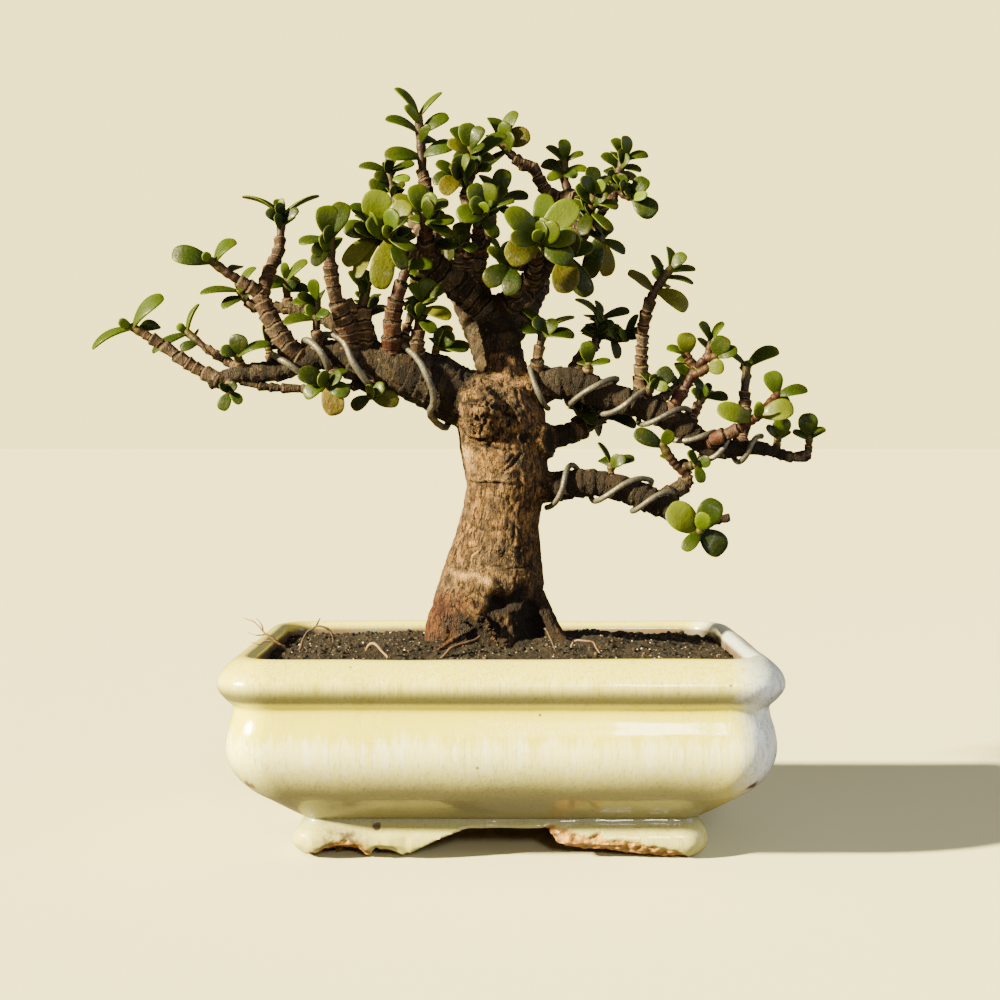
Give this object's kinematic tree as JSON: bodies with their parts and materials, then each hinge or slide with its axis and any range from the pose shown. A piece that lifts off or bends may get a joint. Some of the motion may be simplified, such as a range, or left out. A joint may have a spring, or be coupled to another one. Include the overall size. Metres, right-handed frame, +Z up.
{
  "type": "potted jade bonsai tree",
  "caption": "Dwarf jade bonsai with a thick flared trunk, wired spreading limbs and small fleshy leaves, in a glazed rectangular footed pot.",
  "frame": {"origin": "middle of the whole object's footprint, on the surface that the pot's feet stand on", "axes": "+Z up the trunk, +X to the right of the tree's front, -Y out of the front"},
  "size_m": [0.3208, 0.17, 0.3289],
  "materials": {
    "glaze": "glossy cream crackle glaze, yellow where it pooled",
    "soil": "loose dark potting mix with light grit",
    "bark": "rough fissured bark, ringed on the twigs",
    "wire": "dull weathered",
    "screen": "matt black mesh",
    "leaf": "smooth waxy succulent leaf"
  },
  "bodies": {
    "root": {"pot": "glaze", "soil": "soil", "tree_wood": "bark", "wire_left": "wire", "wire_right": "wire", "wire_lower": "wire", "drain_screen_left": "screen", "drain_screen_right": "screen", "leaves_left_tip": "leaf", "leaves_left_low": "leaf", "leaves_left_upright": "leaf", "leaves_left_small": "leaf", "leaves_left_hanging": "leaf", "leaves_upper_left": "leaf", "leaves_upper_left_tall": "leaf", "leaves_back_left_end": "leaf", "leaves_back_left_middle": "leaf", "leaves_left_front": "leaf", "leaves_thick_left": "leaf", "leaves_crown_left": "leaf", "leaves_crown_middle": "leaf", "leaves_thin_left": "leaf", "leaves_red_stem": "leaf", "leaves_middle_left": "leaf", "leaves_fork": "leaf", "leaves_under_left": "leaf", "leaves_under_middle": "leaf", "leaves_top_left": "leaf", "leaves_top_left_back": "leaf", "leaves_crown_top": "leaf", "leaves_top_right": "leaf", "leaves_crown_front": "leaf", "leaves_crown_behind": "leaf", "leaves_crown_low": "leaf", "leaves_top_small": "leaf", "leaves_right_crown": "leaf", "leaves_right_inner": "leaf", "leaves_front_rosette": "leaf", "leaves_front_low": "leaf", "leaves_front_hanging": "leaf", "leaves_trunk_fork": "leaf", "leaves_right_behind": "leaf", "leaves_right_nub": "leaf", "leaves_right_tall": "leaf", "leaves_right_base": "leaf", "leaves_right_red": "leaf", "leaves_right_back": "leaf", "leaves_far_right": "leaf", "leaves_far_right_tall": "leaf", "leaves_right_end_small": "leaf", "leaves_right_end": "leaf", "leaves_lower_right_up": "leaf", "leaves_lower_rosette": "leaf", "leaves_lower_small": "leaf", "leaves_right_shade": "leaf", "leaves_back_top": "leaf", "leaves_back_upper": "leaf", "leaves_back_right": "leaf", "leaves_back_low_left": "leaf"}
  },
  "joints": []
}
